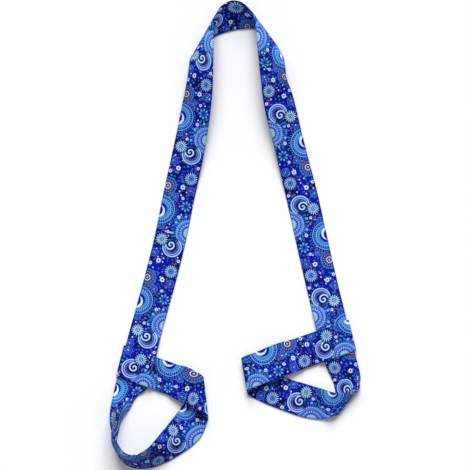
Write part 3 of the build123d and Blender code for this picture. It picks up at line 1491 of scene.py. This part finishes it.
@dataclass
class Leg(Half):
    """One leg of the strap: its shoulder roll, the leg down to its fold, and below it.

    Attributes:
        shoulder_turn: Where the shoulder's cloth turns, along its sorting direction; not used.
        shoulder_start: Ruling, counted back into the neck, at which the shoulder's piece starts.
        shoulder_end: Ruling at which the leg's piece takes over.
        fold_ruling: Last ruling above the leg's fold.
        lower_start: Ruling at which the threaded piece takes over.
        fold_reach: Half the length of cloth meant to bend at the leg's fold, in millimetres; handed to
            blend_over, which doesn't bend the piece. noose_reach: Half the length of cloth meant to
            bend at the noose's fold, in millimetres; handed to blend_over, which doesn't bend the
            piece.
        noose_reach: Half the length of cloth that bends at the noose's fold, in millimetres.
    """

    shoulder_turn: tuple[float, float] = (-145.0, -70.0)
    shoulder_start: int = -2
    shoulder_end: int = 2
    fold_ruling: int = 5
    lower_start: int = 7
    fold_reach: float = 16.0
    noose_reach: float = 13.0

    def fold(self, ruling: int) -> tuple[Vector, Vector]:
        """Middle and direction of the fold below a ruling.

        Args:
            ruling: The last ruling above the fold.

        Returns:
            The middle, in millimetres, and the direction.
        """
        above, below = self.lay.run()[ruling], self.lay.run()[ruling + 1]
        tops = (Vector(above.outer) + Vector(above.inner)) / 2
        bottoms = (Vector(below.outer) + Vector(below.inner)) / 2
        return (tops + bottoms) / 2, (bottoms - tops).normalized()

    def build(self, webbing: bpy.types.Material) -> None:
        """Make the leg's pieces and bake each one's transform into its mesh.

        Args:
            webbing: The webbing's material.
        """
        word = self.lay.side.word
        shoulder = self.cut(
            "shoulder_webbing", self.shoulder_start, self.shoulder_end, ("shoulder_roll",)
        ).build(webbing)
        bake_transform(shoulder)

        upper = self.cut("leg_webbing", self.shoulder_end, self.lower_start, ("leg_upper",))
        bodies = f"{word}_top_leg", f"{word}_bottom_leg"
        blend_over(upper.build(webbing), bodies, *self.fold(self.fold_ruling), self.fold_reach)

        nodes = ("leg_lower", "noose_threaded")
        lower = self.cut("threaded_webbing", self.lower_start, self.lay.threaded_end, nodes)
        bodies = f"{word}_bottom_leg", f"{word}_noose"
        above_noose = len(self.lay.shoulder) + len(self.lay.leg) - 1
        blend_over(lower.build(webbing), bodies, *self.fold(above_noose), self.noose_reach)


@dataclass
class Noose(Half):
    """One noose: its loop, its upper band and the eye that closes it."""

    def build(self, webbing: bpy.types.Material) -> None:
        """Make the loop, the noose's upper band and the eye.

        Args:
            webbing: The webbing's material.
        """
        word, lay = self.lay.side.word, self.lay
        nodes = ("noose_corner", "noose_lower_band", "noose_roll")
        loop = self.cut("noose_webbing", lay.threaded_end, lay.upper_start, nodes)
        loop.held = "folded"
        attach(loop.build(webbing), f"{word}_noose")

        band = self.cut("upper_band_webbing", lay.upper_start, lay.mouth_at, ("noose_upper_band",))
        band.rests_on = (f"{word}_noose_webbing",)
        towards_eye = -lay.eye.place.inward
        mouth = lay.eye.place.at(lay.eye.end + lay.eye.mouth_gap, SEWN_PLY)
        bodies = f"{word}_noose", f"{word}_slip_eye"
        before, reach = lay.band_give
        middle = mouth - towards_eye * before
        blend_over(band.build(webbing), bodies, middle, towards_eye, reach)

        eye = self.cut("eye_webbing", lay.mouth_at, len(lay.run()) - 1, ("eye",))
        eye.held = "folded"
        eye.rests_on = ("floor", f"{word}_threaded_webbing")
        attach(eye.build(webbing), f"{word}_slip_eye")


@dataclass
class EyeSeam:
    """Rows of stitches that close an eye, made by a geometry tree with its sizes as inputs."""

    place: EyePlace
    rows: int = 3
    row_spacing: float = 6.5
    middle_row: float = 35.0
    stitches: int = 8
    stitch_spacing: float = 4.4
    stitch_length: float = 3.0
    thread: float = 0.5
    bulge: float = 0.55
    facets: int = 8  # round the thread, and along a stitch

    def tree(self) -> bpy.types.GeometryNodeTree:
        """Build the tree: a grid of points with a curved stitch on each.

        Returns:
            The tree.
        """
        tree = bpy.data.node_groups.new(f"{self.place.side.word}_eye_seam", "GeometryNodeTree")
        for name, kind in (
            ("Rows", "Int"),
            ("Row spacing", "Float"),
            ("Stitches", "Int"),
            ("Stitch spacing", "Float"),
            ("Stitch length", "Float"),
            ("Thread thickness", "Float"),
            ("Bulge", "Float"),
            ("Place", "Vector"),
            ("Turn", "Float"),
            ("Thread", "Material"),
        ):
            tree.interface.new_socket(name, in_out="INPUT", socket_type=f"NodeSocket{kind}")
        tree.interface.new_socket("Seam", in_out="OUTPUT", socket_type="NodeSocketGeometry")
        g = Graph(tree)
        sizes = g.node("NodeGroupInput").outputs

        grid = g.node("GeometryNodeMeshGrid")
        for count, spacing, vertices, size in (
            ("Stitches", "Stitch spacing", "Vertices X", "Size X"),
            ("Rows", "Row spacing", "Vertices Y", "Size Y"),
        ):
            gaps = g.math("SUBTRACT", sizes[count], 1.0)
            g.feed(grid.inputs[size], g.math("MULTIPLY", gaps, sizes[spacing]))
            g.feed(grid.inputs[vertices], sizes[count])

        half = g.math("MULTIPLY", sizes["Stitch length"], 0.5)
        curve = g.wired("GeometryNodeCurveQuadraticBezier", {"Resolution": self.facets})
        for name, x, z in (
            ("Start", g.math("MULTIPLY", half, -1.0), 0.0),
            ("Middle", 0.0, sizes["Bulge"]),
            ("End", half, 0.0),
        ):
            point = g.wired("ShaderNodeCombineXYZ", {"X": x, "Z": z})
            g.feed(curve.inputs[name], point.outputs[0])
        radius = g.math("MULTIPLY", sizes["Thread thickness"], 0.5)
        inputs = {"Resolution": self.facets, "Radius": radius}
        profile = g.wired("GeometryNodeCurvePrimitiveCircle", inputs)
        inputs = {"Curve": curve.outputs[0], "Profile Curve": profile.outputs[0], "Fill Caps": True}
        stitch = g.wired("GeometryNodeCurveToMesh", inputs)

        inputs = {"Points": grid.outputs["Mesh"], "Instance": stitch.outputs[0]}
        sewn = g.wired("GeometryNodeInstanceOnPoints", inputs).outputs[0]
        turn = g.wired("ShaderNodeCombineXYZ", {"Z": sizes["Turn"]}).outputs[0]
        inputs = {"Geometry": sewn, "Translation": sizes["Place"], "Rotation": turn}
        placed = g.wired("GeometryNodeTransform", inputs).outputs[0]
        real = g.wired("GeometryNodeRealizeInstances", {"Geometry": placed}).outputs[0]
        inputs = {"Geometry": real, "Material": sizes["Thread"]}
        dressed = g.wired("GeometryNodeSetMaterial", inputs).outputs[0]
        g.feed(g.node("NodeGroupOutput").inputs[0], dressed)
        return tree

    def build(self, finish: bpy.types.Material) -> None:
        """Sew the seam, turn it into a plain mesh and fix it to its eye.

        Args:
            finish: The thread's material.
        """
        word, down = self.place.side.word, self.place.down
        name = f"{word}_seam_stitches"
        piece = place(name, bpy.data.meshes.new(name))
        sewing = piece.modifiers.new("Sewing", "NODES")
        sewing.node_group = self.tree()
        surface = SEWN_PLY + WebSection().thickness / 2
        values = {
            "Rows": self.rows,
            "Row spacing": self.row_spacing * MM,
            "Stitches": self.stitches,
            "Stitch spacing": self.stitch_spacing * MM,
            "Stitch length": self.stitch_length * MM,
            "Thread thickness": self.thread * MM,
            "Bulge": self.bulge * MM,
            "Place": tuple(self.place.at(self.middle_row, surface) * MM),
            "Turn": float(np.arctan2(down.y, down.x)),
            "Thread": finish,
        }
        for socket in sewing.node_group.interface.items_tree:
            if socket.in_out == "INPUT":
                sewing[socket.identifier] = values[socket.name]
        bpy.context.view_layer.update()
        evaluated = piece.evaluated_get(bpy.context.evaluated_depsgraph_get())
        sewn = bpy.data.meshes.new_from_object(evaluated)
        piece.modifiers.clear()
        piece.data = sewn
        sewn.shade_smooth()
        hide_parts(f"{word}_eye_stitches")
        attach(piece, f"{word}_slip_eye")
        log.info("%s: %d stitches", name, self.rows * self.stitches)


# Studio


@dataclass(frozen=True)
class Studio:
    """Overhead camera, soft light from beyond the neck, and a pale floor, in metres."""

    camera_height: float = 3.5
    view_width: float = 0.564
    view_centre: tuple[float, float] = (0.0, -0.0006)
    sensor: float = 36.0
    key_strength: float = 4.4
    key_elevation: float = 34.0
    key_softness: float = 40.0
    sky: float = 0.32
    clip_end: float = 50.0
    floor_reach: float = 6.0
    floor_squares: int = 8

    def camera(self) -> None:
        """Hang the camera over the strap, looking straight down."""
        data = bpy.data.cameras.new("camera")
        data.sensor_width = self.sensor
        data.lens = self.sensor * self.camera_height / self.view_width
        data.clip_end = self.clip_end
        camera = place("camera", data)
        camera.location = (*self.view_centre, self.camera_height)
        bpy.context.scene.camera = camera

    def lights(self) -> None:
        """Set a broad key light beyond the neck, and an even sky."""
        data = bpy.data.lights.new("key", "SUN")
        data.energy = self.key_strength
        data.angle = radians(self.key_softness)
        key = place("key", data)
        key.rotation_euler = (radians(self.key_elevation - 90), 0, 0)
        world = bpy.data.worlds.new("sky")
        world.use_nodes = True
        background = world.node_tree.nodes["Background"].inputs
        background["Strength"].default_value = self.sky
        background["Color"].default_value = (1, 1, 1, 1)
        bpy.context.scene.world = world
        bpy.context.scene.view_settings.view_transform = "Standard"

    def floor(self) -> None:
        """Lay the floor."""
        mesh = bmesh.new()
        squares = self.floor_squares
        bmesh.ops.create_grid(mesh, x_segments=squares, y_segments=squares, size=self.floor_reach)
        data = bpy.data.meshes.new("floor")
        mesh.to_mesh(data)
        mesh.free()
        data.materials.append(PaleFloor().material())
        place("floor", data)


def main() -> None:
    """Build the studio, then the strap from its neck to its two seams."""
    logging.basicConfig(level=logging.INFO, format="%(name)s: %(message)s")
    studio = Studio()
    studio.camera()
    studio.lights()
    studio.floor()
    strap = Strap(LEFT_LAY, RIGHT_LAY, NECK)
    webbing, thread = PrintedWebbing().material(), SeamThread().material()
    NeckBand(strap).build(webbing)
    for lay in (LEFT_LAY, RIGHT_LAY):
        Leg(strap, lay).build(webbing)
        Noose(strap, lay).build(webbing)
        EyeSeam(lay.eye.place).build(thread)


if __name__ == "__main__":
    main()
